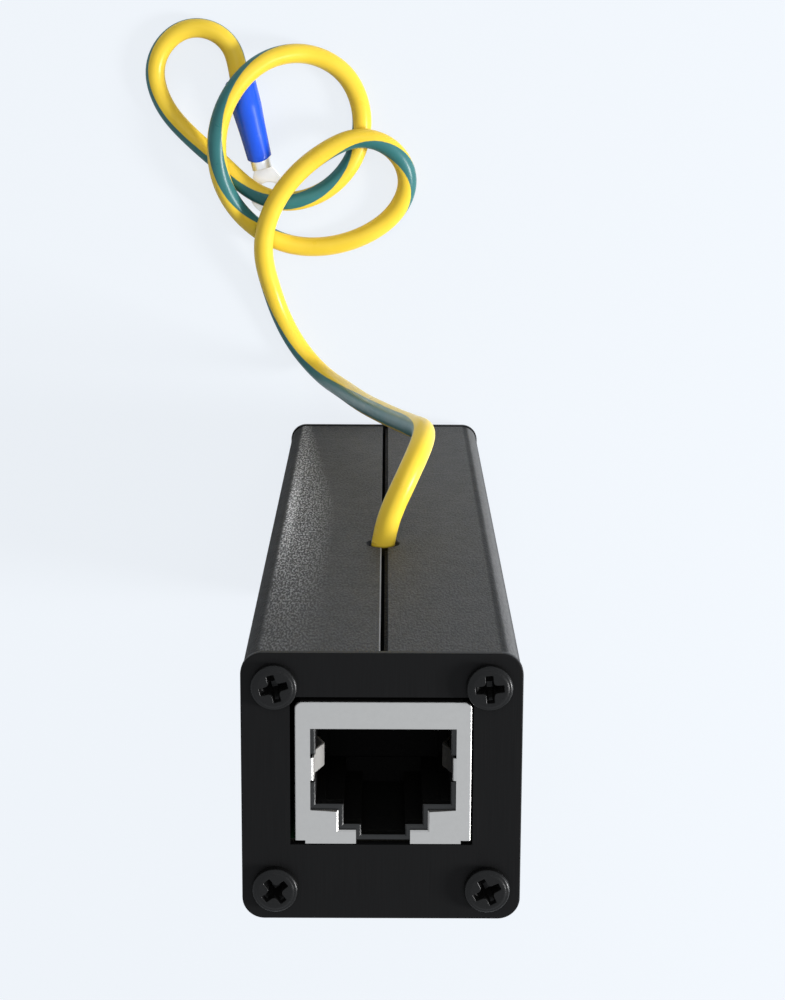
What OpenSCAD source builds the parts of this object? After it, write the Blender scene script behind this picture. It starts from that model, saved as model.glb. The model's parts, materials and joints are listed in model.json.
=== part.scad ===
// In-line ethernet surge protector: a split aluminium extrusion, an end plate and a shielded socket at each
// end, a protection board between them, and an earth lead that ends in a ring terminal.
// It stands on its rear screw heads, with the front socket facing up. Millimetres.

/* [Case] */
// Width and height of the extruded case
case_w = 24.8; // [24.8:0.1:30]
// Length of the case between its end plates
case_len = 98.4; // [90:0.1:140]
// Thickness of the extruded wall
wall_t = 1.5; // [1.2:0.1:1.6]
// Radius of the long outer corners
corner_r = 2; // [1:0.1:2.4]
// Distance of each screw channel from its two nearest outer faces
channel_inset = 2.9; // [2.7:0.05:2.95]
// Bore of a screw channel
channel_d = 2.4; // [2.2:0.05:2.6]
// Wall left round a screw channel
channel_wall = 0.7; // [0.6:0.05:0.8]
// Width of a screw channel's open side
channel_slot_w = 1.1; // [0.8:0.1:1.4]
// Gap that shows along the seam
seam_gap = 0.3; // [0.2:0.05:0.4]
// Width of the step beside the seam
seam_step_w = 0.35; // [0.2:0.05:0.5]
// Depth of the step beside the seam
seam_step_h = 0.3; // [0.2:0.05:0.4]
// Thickness of the tongue that crosses the seam
tongue_t = 0.6; // [0.5:0.05:0.7]
// Reach of the tongue past the seam
tongue_len = 1; // [0.6:0.1:1.4]
// How far a board rib stands in from the wall
rib_reach = 1; // [0.6:0.1:1.2]
// Thickness of a board rib
rib_t = 0.9; // [0.7:0.1:1.1]

/* [End plates] */
// Thickness of an end plate
plate_t = 0.8; // [0.6:0.1:1.2]
// How far an end plate stands out past the case
plate_margin = 0.1; // [0:0.05:0.4]
// Radius of an end plate's corners
plate_corner_r = 2; // [1:0.1:2.4]
// Smallest gap between an end plate and the socket
cutout_gap = 0.1; // [0.05:0.05:0.2]
// Gap above the socket
cutout_top_gap = 0.45; // [0.1:0.05:0.6]

/* [Screws] */
// Diameter of a screw head
head_d = 4.1; // [3.8:0.1:4.3]
// Height of a screw head
head_h = 1; // [0.8:0.1:1.4]
// Radius of the head's rounded rim
head_edge_r = 0.4; // [0.2:0.05:0.5]
// Length of a screw below its head
screw_len = 8; // [5:0.5:12]
// Hole in the end plate for a screw
screw_hole_d = 2.9; // [2.7:0.1:3.2]
// Width of a recess arm
recess_w = 0.65; // [0.5:0.05:0.8]
// Recess from tip to tip
recess_span = 2.5; // [2:0.1:2.8]
// Depth of the recess
recess_depth = 0.7; // [0.5:0.05:0.75]

/* [Sockets] */
// Width of the socket's shield
shield_w = 15.8; // [15.6:0.1:16.4]
// Height of the shield
shield_h = 13.3; // [13.1:0.1:13.6]
// Depth of the shield
shield_depth = 20.6; // [20:0.1:22]
// Thickness of the shield's sheet
sheet_t = 0.25; // [0.2:0.05:0.3]
// Radius of the shield's folds
fold_r = 0.6; // [0.4:0.1:0.9]
// How far the socket sits to one side of the middle
socket_shift = 0.15; // [0:0.05:0.3]
// How far the socket sits above the middle
socket_lift = 1.35; // [1:0.05:1.6]
// Width of the plug opening in the shield
port_w = 13; // [12.8:0.1:13.2]
// Height of the plug opening above the socket's middle
port_top = 4.15; // [4:0.05:4.3]
// Height of the plug opening without its latch key
port_h = 7.65; // [7.5:0.05:7.8]
// Width of the latch key's first step
key_w = 8; // [7.6:0.1:8.4]
// Height of the latch key's first step
key_h = 1.9; // [1.7:0.05:2]
// Width of the latch key's slot
slot_w = 4.85; // [4.6:0.05:5.2]
// How far the plastic lining stands into the shield's opening
lining = 0.45; // [0.3:0.05:0.5]
// Depth of the plug cavity
cavity_depth = 13.4; // [13:0.1:14]
// Strip of plastic left below the latch slot
slot_floor_t = 0.4; // [0.3:0.05:0.6]
// Spacing of the contacts
contact_pitch = 1.02; // [1:0.01:1.05]
// Width of a contact
contact_w = 0.45; // [0.35:0.05:0.5]
// Thickness of a contact
contact_t = 0.3; // [0.25:0.05:0.35]
// Height of a side spring
spring_h = 2.1; // [1.8:0.1:2.4]
// Height of a side spring's middle above the socket's middle
spring_rise = 0.35; // [0.2:0.05:0.5]
// How far a side spring stands into the plug opening
spring_reach = 1.15; // [0.8:0.05:1.2]
// Depth of a side spring's bulge behind the socket's mouth
spring_z = 4; // [3.6:0.1:4.4]

/* [Board] */
// Thickness of the circuit board
board_t = 1.6; // [1.2:0.1:1.8]
// Gap between the board and the case wall
board_side_gap = 0.2; // [0.1:0.05:0.3]
// Gap between the board and an end plate
board_end_gap = 0.4; // [0.2:0.1:1]
// Gap between the board and its ribs
board_rib_gap = 0.1; // [0.05:0.05:0.2]
// Diameter of a gas discharge tube
tube_d = 5; // [4.6:0.1:5.4]
// Length of a gas discharge tube
tube_len = 7.6; // [7:0.1:8.2]
// Width of a suppressor chip
chip_w = 4; // [3.8:0.1:4.2]
// Length of a suppressor chip
chip_len = 5; // [4.8:0.1:5.2]
// Height of a suppressor chip's case
chip_h = 1.4; // [1.2:0.1:1.6]
// Width of the earth strip on the board
strip_w = 3; // [2.8:0.1:4]
// Thickness of the earth strip
strip_t = 0.3; // [0.2:0.05:0.4]

/* [Earth lead] */
// Diameter of the lead
lead_d = 2.5; // [2.3:0.05:2.5]
// Diameter of its hole in the case
lead_hole_d = 3.5; // [3:0.1:4.2]
// Distance of that hole from the front plate's face
lead_hole_from_front = 38; // [34:0.5:44]
// Diameter of the lead's bare core
core_d = 1.6; // [1.4:0.1:1.6]
// Length of the terminal's sleeve
sleeve_len = 11; // [10:0.5:12]
// Diameter of the sleeve at its mouth
sleeve_d = 4; // [3.7:0.1:4.3]
// Diameter of the sleeve at the ring's end
sleeve_tip_d = 3.2; // [3:0.1:3.3]
// Length of the sleeve's wide mouth
sleeve_mouth_len = 4.6; // [4:0.1:5]
// Outer diameter of the terminal's barrel
barrel_d = 2.6; // [2.4:0.1:2.6]
// Distance from the sleeve's mouth to the ring's middle
ring_reach = 15.5; // [15:0.1:16.5]
// Outer diameter of the ring
ring_d = 5.2; // [5:0.1:6.5]
// Hole in the ring
ring_hole_d = 3.2; // [3.2:0.1:3.7]
// Thickness of the ring and its tongue
tongue_sheet_t = 0.8; // [0.6:0.1:1]
// Width of the neck between the sleeve and the ring
neck_w = 1.7; // [1.5:0.1:2.2]
// Angle at which the neck widens to the ring, each side
flare_angle = 27; // [20:1:35]

/* [Hidden] */
$fn = 48;
ends = ["front", "rear"];

// A cut runs this far past the face it opens
over = 0.5;
half_w = case_w / 2;
inner_half = half_w - wall_t;
channel_pos = half_w - channel_inset;

// Heights of the stack, from the screw heads it stands on
rear_face = head_h;
case_z = rear_face + plate_t;
front_face = case_z + case_len + plate_t;
lead_z = front_face - lead_hole_from_front;

// Turn of each screw's recess
recess_turns = [16, 4, 38, 27];
screw_d = channel_d - 0.1;

// The board lies right under the sockets
board_top = socket_lift - shield_h / 2;
board_bottom = board_top - board_t;
board_half = inner_half - board_side_gap;
pin_reach = 1.2;

// Socket, measured from its own middle, with its mouth at zero and its depth below zero. The housing's
// floor ends at the sill, and the contacts' legs go down through the carrier behind it
port_bottom = port_top - port_h;
key_bottom = port_bottom - key_h;
inner_w = shield_w - 2 * sheet_t;
inner_h = shield_h - 2 * sheet_t;
skin_gap = 0.05;
housing_top = inner_h / 2 - skin_gap;
housing_bottom = -housing_top;
housing_front = -sheet_t - skin_gap;
housing_depth = shield_depth - sheet_t - 0.8;
roof_t = 0.6;
comb_top = housing_top - roof_t;
comb_half = 4 * contact_pitch + 1.1;
comb_lip = 1.2;
fit_gap = 0.05;
sill_z = -cavity_depth - 0.8;
contact_y = comb_top - 0.9;
bend_r = 0.5;
bend_z = -comb_lip - 1.8;
slope = 17;
free_z = -11.5;
first_leg_z = -15.2;
leg_step = 2.54;
channel_w = contact_w + 0.12;
tab_z = -12.5;
tab_w = 1.6;
post_z = -8.9;
post_x = 5.7;
post_r = 1.6;
spring_t = 0.2;
spring_side_gap = 0.2;

// Parts on the board: a chip behind each socket, and the tubes halfway between the sockets
chip_gap = 2;
chip_rows = [
    front_face - shield_depth - chip_gap - chip_len / 2,
    rear_face + shield_depth + chip_gap + chip_len / 2
];
tube_x = strip_w / 2 + 0.8 + tube_d / 2;
tube_mid = (front_face + rear_face) / 2;
tube_row_gap = 5.4;
tube_rows = [tube_mid - (tube_row_gap + tube_len) / 2, tube_mid + (tube_row_gap + tube_len) / 2];
strip_top = lead_z + 3;
strip_bottom = tube_rows[0] - tube_len / 2;
chip_lift = 0.15;
chip_lead_pitch = 1.27;
chip_lead_w = 0.4;

// The lead's route, from the face of the case to the mouth of the terminal's sleeve
lead_route = [
    [0, half_w, lead_z], [0.5, half_w + 2.6, lead_z], [2, half_w + 6.1, lead_z],
    [3.5, 21.4, 61.2], [4.4, 23, 57], [3.2, 22.3, 49.5], [1.5, 21.4, 41.5], [-0.2, 20.6, 33.5], [-2.7, 19.4, 21],
    [-5.5, 19.1, 10], [-7.9, 19.6, 4.2], [-9.7, 20.9, 2], [-11.2, 22.6, 1.3], [-12.6, 24.8, 1.3], [-14, 27.8, 1.4],
    [-15, 31, 2.1], [-16, 36, 4], [-15.3, 40.5, 4.9], [-12.8, 45, 5], [-8.7, 48.8, 4.5], [-3.4, 51.2, 4.1],
    [1, 49.7, 3.4], [3.1, 45.5, 2.2], [1.4, 41.1, 1.3], [-2.8, 38, 1.3], [-8.5, 36.5, 1.3], [-14, 37.2, 1.3],
    [-19, 41, 2.6], [-21.5, 46, 4.4], [-21.7, 52, 5.2], [-19.5, 57.3, 5.5], [-15.5, 61, 4.5], [-10, 61.8, 2.2],
    [-5.2, 59.2, 1.3], [-3, 54, 1.3], [-4, 48.3, 1.3], [-7.8, 44, 1.6], [-13, 42.5, 2.3], [-17.5, 44, 2.4],
    [-21.5, 47.5, 1.5], [-25, 50.5, 1.3], [-28.7, 54.6, 1.3], [-30.2, 59.2, 1.3], [-29.2, 62.4, 1.3],
    [-26.5, 64.8, 1.3], [-23.1, 65, 1.4], [-20, 62.8, 1.7], [-19, 58.5, 2]
];
lead_sides = 8;
terminal_turn = -76;
terminal_dir = [cos(terminal_turn), sin(terminal_turn), 0];
lead_end = lead_route[len(lead_route) - 1];
sleeve_mouth = [lead_end[0], lead_end[1], sleeve_d / 2];
wire_in_sleeve = sleeve_mouth_len - 0.2;

// Small helpers
function unit(v) = v / norm(v);
function reversed(p) = [for (i = [len(p) - 1:-1:0]) p[i]];
function arc(c, r, from, to, n = 8) =
    [for (i = [0:n]) let(a = from + (to - from) * i / n) c + r * [cos(a), sin(a)]];

// One edge of a strip that follows path p, d to its left
function edge(p, d) = [
    for (i = [0:len(p) - 1])
        let(
            a = unit(p[max(i, 1)] - p[max(i, 1) - 1]),
            b = unit(p[min(i + 1, len(p) - 1)] - p[min(i, len(p) - 2)]),
            m = unit(a + b)
        )
        p[i] + d / (m * a) * [-m[1], m[0]]
];

// A strip of thickness t bent along path p
module strip_shape(p, t) {
    polygon(concat(edge(p, t / 2), reversed(edge(p, -t / 2))));
}

module rounded_square(w, h, r) {
    square([w - 2 * r, h], center = true);
    square([w, h - 2 * r], center = true);
    for (x = [-1, 1])
        for (y = [-1, 1])
            translate([x * (w / 2 - r), y * (h / 2 - r)])
                circle(r);
}

module at_corners(d) {
    for (x = [-1, 1])
        for (y = [-1, 1])
            translate([x * d, y * d])
                children();
}

// Section of the whole extrusion, before the seam divides it
module case_section() {
    difference() {
        rounded_square(case_w, case_w, corner_r);
        difference() {
            rounded_square(2 * inner_half, 2 * inner_half, 0.8);
            at_corners(channel_pos)
                circle(channel_d / 2 + channel_wall);
            board_ribs();
        }
        at_corners(channel_pos)
            circle(channel_d / 2);
        for (x = [-1, 1])
            for (y = [-1, 1])
                translate([x * channel_pos, y * channel_pos])
                    rotate(atan2(-y, -x))
                        translate([0, -channel_slot_w / 2])
                            square([channel_d / 2 + channel_wall + over, channel_slot_w]);
    }
}

// A rib above the board and a ledge below it that runs on into the screw channel. Both side walls carry them
// up and down, because one extrusion serves as either half
module board_ribs() {
    ledge_y = -board_bottom + board_rib_gap;
    rib_y = -board_top - board_rib_gap - rib_t;
    for (x = [0, 1])
        for (y = [0, 1])
            mirror([x, 0])
                mirror([0, y])
                    translate([inner_half - rib_reach, 0]) {
                        translate([0, rib_y])
                            square([rib_reach + over, rib_t]);
                        translate([0, ledge_y])
                            square([rib_reach + over, channel_pos - ledge_y]);
                    }
}

// Left half of the section: a tongue at the top edge, and room for the other half's tongue at the bottom
module half_section() {
    difference() {
        case_section();
        translate([-seam_gap / 2, -half_w - over])
            square([case_w, case_w + 2 * over]);
        translate([-seam_gap / 2 - tongue_len - fit_gap, -inner_half - tongue_t - fit_gap])
            square([tongue_len + fit_gap + over, tongue_t + fit_gap + over]);
        translate([-seam_gap / 2 - seam_step_w, -half_w - over])
            square([seam_step_w + over, seam_step_h + over]);
    }
    translate([-seam_gap / 2 - over, inner_half])
        square([over + seam_gap + tongue_len, tongue_t]);
}

// One half of the case, turned half round for the right side, with its share of the lead's hole
module case_half(turn) {
    difference() {
        rotate(turn)
            translate([0, 0, case_z])
                linear_extrude(case_len)
                    half_section();
        translate([0, half_w + over, lead_z])
            rotate([90, 0, 0])
                cylinder(h = wall_t + 2 * over, d = lead_hole_d);
    }
}

module case_left() {
    color([0.16, 0.16, 0.17])
        case_half(0);
}

module case_right() {
    color([0.17, 0.17, 0.18])
        case_half(180);
}

// An end plate with its outer face at zero
module end_plate() {
    cut_half = shield_w / 2 + socket_shift + cutout_gap;
    cut_bottom = board_top - cutout_gap;
    cut_top = socket_lift + shield_h / 2 + cutout_top_gap;
    color([0.1, 0.1, 0.11])
        translate([0, 0, -plate_t])
            linear_extrude(plate_t)
                difference() {
                    rounded_square(case_w + 2 * plate_margin, case_w + 2 * plate_margin, plate_corner_r);
                    translate([-cut_half, cut_bottom])
                        square([2 * cut_half, cut_top - cut_bottom]);
                    at_corners(channel_pos)
                        circle(d = screw_hole_d);
                }
}

// A pan-head screw that seats at zero: flat round its recess, then falling to a rounded rim
module screw(turn) {
    head_r = head_d / 2;
    flat_r = recess_span / 2 + 0.1;
    rim_drop = 0.12;
    color([0.12, 0.12, 0.13])
        difference() {
            union() {
                rotate_extrude()
                    polygon(concat(
                        [[0, 0], [head_r, 0]],
                        arc([head_r - head_edge_r, head_h - rim_drop - head_edge_r], head_edge_r, 0, 80, 6),
                        [[flat_r, head_h], [0, head_h]]
                    ));
                translate([0, 0, -screw_len])
                    cylinder(h = screw_len + 0.1, d = screw_d);
            }
            translate([0, 0, head_h - recess_depth])
                rotate(turn)
                    intersection() {
                        recess_cross();
                        cylinder(h = recess_depth + over, d1 = recess_span - 1, d2 = recess_span + 0.6);
                    }
        }
}

module recess_cross() {
    for (a = [0, 90])
        rotate(a)
            translate([-recess_span / 2, -recess_w / 2, 0])
                cube([recess_span, recess_w, recess_depth + over]);
}

// Outline of the plug opening, grown or shrunk by g at its sides and steps
module port_shape(g, slot_bottom) {
    translate([-port_w / 2 - g, port_bottom - g])
        square([port_w + 2 * g, port_h + g]);
    translate([-key_w / 2 - g, key_bottom - g])
        square([key_w + 2 * g, port_h + key_h + g]);
    translate([-slot_w / 2 - g, slot_bottom])
        square([slot_w + 2 * g, port_top - slot_bottom]);
}

// Outline of the shield: folded at the top corners, square at the bottom
module shield_outline(inset) {
    w = shield_w - 2 * inset;
    h = shield_h - 2 * inset;
    r = max(fold_r - inset, 0.1);
    translate([-w / 2, -h / 2])
        square([w, h - r]);
    translate([-w / 2 + r, -h / 2])
        square([w - 2 * r, h]);
    for (x = [-1, 1])
        translate([x * (w / 2 - r), h / 2 - r])
            circle(r);
}

// The folded shield: front with its keyed opening, top, sides, back flap, springs and board tabs
module jack_shield() {
    notch_w = 0.95;
    notch_h = 0.3;
    front_strip = 3;
    back_bottom = -2;
    color([0.75, 0.76, 0.78]) {
        difference() {
            translate([0, 0, -shield_depth])
                linear_extrude(shield_depth)
                    shield_outline(0);
            translate([0, 0, -shield_depth + sheet_t])
                linear_extrude(shield_depth - 2 * sheet_t)
                    shield_outline(sheet_t);
            translate([0, 0, -sheet_t - over])
                linear_extrude(sheet_t + 2 * over)
                    port_shape(0, -shield_h);
            translate([-inner_w / 2, -shield_h, -shield_depth - over])
                cube([inner_w, shield_h / 2 + sheet_t, shield_depth - front_strip + over]);
            translate([-slot_w / 2, -shield_h, -front_strip - over])
                cube([slot_w, shield_h / 2 + sheet_t, front_strip + 2 * over]);
            translate([-inner_w / 2, -shield_h, -shield_depth - over])
                cube([inner_w, shield_h + back_bottom, sheet_t + 2 * over]);
            for (x = [-1, 1])
                translate([x * (shield_w / 2 - notch_w / 2 + over / 2), -shield_h / 2, -front_strip / 2])
                    cube([notch_w + over, 2 * notch_h, front_strip + 0.01], center = true);
        }
        for (side = [-1, 1]) {
            side_spring(side);
            board_tab(side);
        }
    }
}

// A grounding spring: the sheet folds in at the side of the opening, runs back, bulges into it and returns
module side_spring(side) {
    edge_x = port_w / 2;
    turn_r = 0.25;
    bulge_r = 0.6;
    root_x = edge_x - turn_r;
    bulge_x = edge_x - spring_reach + spring_t / 2 + bulge_r;
    path = concat(
        [[edge_x + 0.3, -sheet_t / 2]],
        arc([edge_x, -sheet_t / 2 - turn_r], turn_r, 90, 180, 5),
        [[root_x, -spring_z / 2]],
        arc([bulge_x, -spring_z], bulge_r, 145, 215, 6),
        [[root_x, -3 * spring_z / 2]]
    );
    translate([0, spring_rise + spring_h / 2, 0])
        rotate([90, 0, 0])
            linear_extrude(spring_h)
                mirror([side > 0 ? 0 : 1, 0])
                    strip_shape(path, spring_t);
}

// A tab that folds down from the side through the board
module board_tab(side) {
    tab_h = board_t + pin_reach;
    translate([side * (shield_w / 2 - sheet_t / 2), -shield_h / 2 - tab_h / 2 + over / 2, tab_z])
        cube([sheet_t, tab_h + over, tab_w], center = true);
}

// Moulded housing: a keyed tube for the plug, grooves for the springs and a pocket for the carrier
module jack_housing() {
    groove_w = spring_h + 2 * spring_side_gap;
    back = housing_front - housing_depth;
    pocket_half = comb_half + fit_gap;
    color([0.07, 0.07, 0.08]) {
        difference() {
            translate([0, 0, back])
                linear_extrude(housing_depth)
                    shield_outline(sheet_t + skin_gap);
            translate([0, 0, -cavity_depth])
                linear_extrude(cavity_depth + over)
                    port_shape(-lining, housing_bottom + slot_floor_t);
            translate([-pocket_half, port_bottom, back - over])
                cube([2 * pocket_half, comb_top - port_bottom, housing_depth - comb_lip + over]);
            translate([-pocket_half, housing_bottom - over, back - over])
                cube([2 * pocket_half, port_bottom - housing_bottom + 2 * over, sill_z - back + over]);
            for (side = [-1, 1])
                translate([side * (port_w / 2 - lining), spring_rise, -spring_z])
                    cube([4 * lining, groove_w, 2 * spring_z + over], center = true);
        }
        for (x = [-1, 1])
            translate([x * post_x, housing_bottom + 0.1, post_z])
                rotate([90, 0, 0])
                    cylinder(h = board_t + 0.4, r = post_r);
    }
}

// Insert that carries the contacts: a comb under the roof and a block behind the cavity
module contact_carrier() {
    back = housing_front - housing_depth;
    block_front = -cavity_depth - fit_gap;
    comb_bottom = port_top + 0.1;
    color([0.1, 0.1, 0.11])
        difference() {
            union() {
                translate([-comb_half, comb_bottom, back])
                    cube([2 * comb_half, comb_top - fit_gap - comb_bottom, -comb_lip - 0.3 - back]);
                translate([-comb_half, port_bottom + fit_gap, back])
                    cube([2 * comb_half, comb_top - port_bottom - 2 * fit_gap, block_front - back]);
                translate([-comb_half, housing_bottom, back])
                    cube([2 * comb_half, port_bottom - housing_bottom + over, sill_z - fit_gap - back]);
            }
            for (i = [1:8])
                translate([contact_x(i), 0, 0]) {
                    translate([-channel_w / 2, housing_bottom - over, leg_z(i) - 0.3])
                        cube([channel_w, contact_y + 0.3 - housing_bottom + over, 0.6]);
                    translate([-channel_w / 2, contact_y - 0.3, leg_z(i)])
                        cube([channel_w, 0.6, over - leg_z(i)]);
                    translate([-channel_w / 2, comb_bottom - over, block_front])
                        cube([channel_w, contact_y + 0.3 - comb_bottom + over, over - block_front]);
                }
        }
}

function contact_x(i) = (i - 4.5) * contact_pitch;
function leg_z(i) = first_leg_z - leg_step * (i % 2);

// A contact: a leg up from the board, a run under the roof, a hairpin and a sloping spring arm
module contact(i) {
    arm = (bend_z - free_z) + bend_r * sin(slope);
    arm_start = [bend_z, contact_y - bend_r] + bend_r * [cos(slope - 90), sin(slope - 90)];
    path = concat(
        [[leg_z(i), -shield_h / 2 - board_t - pin_reach]],
        arc([leg_z(i) + bend_r, contact_y - bend_r], bend_r, 180, 90, 6),
        arc([bend_z, contact_y - bend_r], bend_r, 90, slope - 90, 10),
        [arm_start + [-arm, -arm * tan(slope)]]
    );
    color([0.85, 0.7, 0.35])
        translate([contact_x(i) + contact_w / 2, 0, 0])
            rotate([0, -90, 0])
                linear_extrude(contact_w)
                    strip_shape(path, contact_t);
}

// Puts a part of a socket at one end of the case
module at_end(e) {
    if (e == "front")
        translate([socket_shift, socket_lift, front_face])
            children();
    else
        translate([-socket_shift, socket_lift, rear_face])
            rotate([0, 180, 0])
                children();
}

module plate_at_end(e) {
    if (e == "front")
        translate([0, 0, front_face])
            children();
    else
        translate([0, 0, rear_face])
            rotate([0, 180, 0])
                children();
}

module screw_at_end(e, i) {
    x = i % 2 == 1 ? -1 : 1;
    y = i < 3 ? 1 : -1;
    plate_at_end(e)
        translate([x * channel_pos, y * channel_pos, 0])
            screw(recess_turns[e == "front" ? i - 1 : 4 - i]);
}

// The board, with holes for the sockets' pins, posts and tabs
module circuit_board() {
    length = case_len - 2 * board_end_gap;
    color([0.1, 0.35, 0.2])
        difference() {
            translate([-board_half, board_bottom, case_z + board_end_gap])
                cube([2 * board_half, board_t, length]);
            for (e = ends)
                at_end(e) {
                    for (i = [1:8])
                        translate([contact_x(i), -shield_h / 2 + over, leg_z(i)])
                            rotate([90, 0, 0])
                                cylinder(h = board_t + 2 * over, d = 0.85, $fn = 16);
                    for (side = [-1, 1]) {
                        translate([side * post_x, -shield_h / 2 + over, post_z])
                            rotate([90, 0, 0])
                                cylinder(h = board_t + 2 * over, r = post_r + 0.1);
                        translate([side * (shield_w / 2 - sheet_t / 2), -shield_h / 2 - board_t / 2, tab_z])
                            cube([sheet_t + 0.3, board_t + 2 * over, tab_w + 0.4], center = true);
                    }
                }
        }
}

// Copper strip that joins the lead to the middle electrode of every gas tube
module earth_strip() {
    color([0.8, 0.78, 0.72])
        translate([-strip_w / 2, board_top, strip_bottom])
            cube([strip_w, strip_t, strip_top - strip_bottom]);
}

// Solder round the foot of the lead
module wire_joint() {
    color([0.78, 0.79, 0.8])
        translate([0, board_top + strip_t, lead_z])
            rotate([-90, 0, 0])
                rotate_extrude()
                    polygon([
                        [lead_d / 2 + fit_gap, 0], [lead_d / 2 + 1, 0], [lead_d / 2 + 0.45, 0.7],
                        [lead_d / 2 + 0.2, 1.5], [lead_d / 2 + fit_gap, 1.5]
                    ]);
}

// A three-electrode gas tube: ceramic between two end caps and a middle band, each on a soldered foot
module gas_tube(i) {
    x = i % 2 == 1 ? -tube_x : tube_x;
    z = tube_rows[floor((i - 1) / 2)];
    band = 1;
    foot_w = 1.2;
    foot_h = 0.5;
    color([0.85, 0.83, 0.8])
        translate([x, board_top + tube_d / 2, z]) {
            cylinder(h = tube_len - 0.2, d = tube_d - 0.5, center = true);
            for (s = [-1, 0, 1])
                translate([0, 0, s * (tube_len - band) / 2]) {
                    cylinder(h = band, d = tube_d, center = true);
                    translate([0, (foot_h - tube_d) / 2, 0])
                        cube([foot_w, foot_h, band], center = true);
                }
        }
}

// A suppressor chip with four bent leads a side
module suppressor_chip(i) {
    z = chip_rows[i - 1];
    lead_t = 0.2;
    bend = 0.2;
    shoulder_y = 0.75;
    knee_x = chip_w / 2 + 0.35;
    path = concat(
        [[chip_w / 2 - 0.2, shoulder_y]],
        arc([knee_x, shoulder_y - bend], bend, 90, 0, 3),
        arc([knee_x + 2 * bend, lead_t / 2 + bend], bend, 180, 270, 3),
        [[knee_x + 2 * bend + 0.5, lead_t / 2]]
    );
    translate([0, board_top, z]) {
        color([0.08, 0.08, 0.09])
            translate([-chip_w / 2, chip_lift, -chip_len / 2])
                cube([chip_w, chip_h, chip_len]);
        color([0.8, 0.8, 0.82])
            for (side = [-1, 1])
                for (k = [-1.5:1:1.5])
                    translate([0, 0, k * chip_lead_pitch - chip_lead_w / 2])
                        linear_extrude(chip_lead_w)
                            mirror([side > 0 ? 0 : 1, 0])
                                strip_shape(path, lead_t);
    }
}

// Sweeps a round section along a path without letting it twist
function direction(p, i) = unit(p[min(i + 1, len(p) - 1)] - p[max(i - 1, 0)]);
function across(n, t) = unit(n - (n * t) * t);
function frames(p, n, i = 0) =
    i >= len(p) ? [] :
    let(t = direction(p, i), m = across(n, t))
        concat([[m, cross(t, m)]], frames(p, m, i + 1));

module round_sweep(p, r, sides) {
    f = frames(p, [0, 0, 1]);
    last = len(p) - 1;
    points = [
        for (i = [0:last])
            for (k = [0:sides - 1])
                let(a = 360 * k / sides)
                    p[i] + r * (cos(a) * f[i][0] + sin(a) * f[i][1])
    ];
    walls = [
        for (i = [0:last - 1])
            for (k = [0:sides - 1])
                let(a = i * sides + k, b = i * sides + (k + 1) % sides)
                    each [[a, a + sides, b], [b, a + sides, b + sides]]
    ];
    start_cap = [[for (k = [0:sides - 1]) k]];
    end_cap = [[for (k = [sides - 1:-1:0]) last * sides + k]];
    polyhedron(points, concat(walls, start_cap, end_cap), convexity = 10);
}

// The earth lead, from the board through the case and on to the terminal
module ground_wire() {
    foot = [0, board_top + strip_t, lead_z];
    inside = [0, (foot[1] + half_w) / 2, lead_z];
    end = sleeve_mouth + wire_in_sleeve * terminal_dir;
    color([0.85, 0.8, 0.15])
        round_sweep(concat([foot, inside], lead_route, [end]), lead_d / 2, lead_sides);
}

// Places a part of the terminal: mouth at zero, ring along +X, lying on the floor
module at_terminal() {
    translate(sleeve_mouth)
        rotate(terminal_turn)
            children();
}

// The lead's bare core inside the barrel
module lead_core() {
    color([0.8, 0.5, 0.3])
        at_terminal()
            translate([wire_in_sleeve, 0, 0])
                rotate([0, 90, 0])
                    cylinder(h = sleeve_len + 0.7 - wire_in_sleeve, d = core_d);
}

// Plastic sleeve: wide at the mouth, narrow round the barrel
module terminal_sleeve() {
    lead_bore = lead_d / 2 + fit_gap;
    barrel_bore = barrel_d / 2 + fit_gap;
    rim_r = 0.2;
    color([0.1, 0.3, 0.95])
        at_terminal()
            rotate([0, 90, 0])
                rotate_extrude()
                    polygon(concat(
                        [[lead_bore, rim_r], [lead_bore + rim_r, 0]],
                        arc([sleeve_d / 2 - rim_r, rim_r], rim_r, -90, 0, 4),
                        [[sleeve_d / 2, sleeve_mouth_len], [sleeve_tip_d / 2, sleeve_len - rim_r]],
                        [[sleeve_tip_d / 2 - rim_r / 2, sleeve_len], [barrel_bore, sleeve_len]],
                        [[barrel_bore, sleeve_mouth_len + rim_r], [lead_bore, sleeve_mouth_len]]
                    ));
}

// Tinned terminal, flat on the floor: a barrel round the core, and a neck that widens at a tangent to the ring
module ring_terminal() {
    barrel_start = sleeve_mouth_len + 0.3;
    barrel_end = sleeve_len + 1;
    touch = [ring_reach, 0] - ring_d / 2 * [sin(flare_angle), cos(flare_angle)];
    flare_start = touch[0] - (abs(touch[1]) - neck_w / 2) / tan(flare_angle);
    root = [sleeve_len + fit_gap, -neck_w / 2];
    tongue_edge = [root, [flare_start, root[1]], touch, [ring_reach, touch[1]]];
    color([0.85, 0.86, 0.88])
        at_terminal() {
            translate([barrel_start, 0, 0])
                rotate([0, 90, 0])
                    difference() {
                        cylinder(h = barrel_end - barrel_start, d = barrel_d);
                        translate([0, 0, -over])
                            cylinder(h = barrel_end - barrel_start + 2 * over, d = core_d + 2 * fit_gap);
                    }
            difference() {
                translate([0, 0, -sleeve_d / 2])
                    linear_extrude(tongue_sheet_t) {
                        polygon(concat(tongue_edge, reversed([for (q = tongue_edge) [q[0], -q[1]]])));
                        translate([ring_reach, 0])
                            circle(d = ring_d);
                    }
                translate([ring_reach, 0, -sleeve_d / 2 - over])
                    cylinder(h = tongue_sheet_t + 2 * over, d = ring_hole_d);
            }
        }
}

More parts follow.
